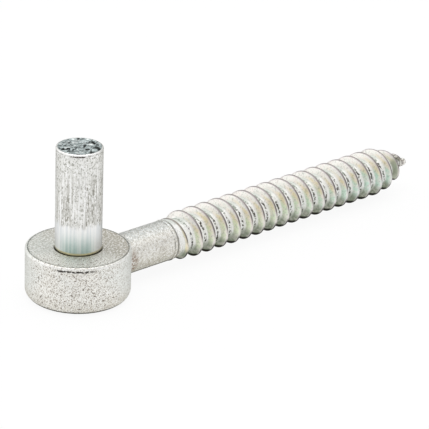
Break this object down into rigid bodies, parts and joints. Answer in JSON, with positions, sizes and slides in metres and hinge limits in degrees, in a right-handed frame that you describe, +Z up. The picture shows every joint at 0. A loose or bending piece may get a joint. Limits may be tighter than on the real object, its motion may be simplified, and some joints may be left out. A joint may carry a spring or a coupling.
{
  "type": "gate hinge pin",
  "caption": "Upright round pin riveted into the collar of a horizontal lag screw; the screw fixes it to a post and a gate's hinge eye turns on the pin.",
  "frame": {"origin": "on the pin's axis at the top of the collar, where the gate's hinge eye sits", "axes": "+Z up the pin, +X along the lag screw to its point"},
  "size_m": [0.1259, 0.0258, 0.0387],
  "materials": {
    "bar_zinc": "bright zinc plate over drawn bar, streaked along its length",
    "forged_zinc": "bright zinc plate over a grainy forging, faintly rainbow tinted on the thread"
  },
  "bodies": {
    "root": {"hinge_pin": "bar_zinc", "screw_eye": "forged_zinc"}
  },
  "joints": []
}
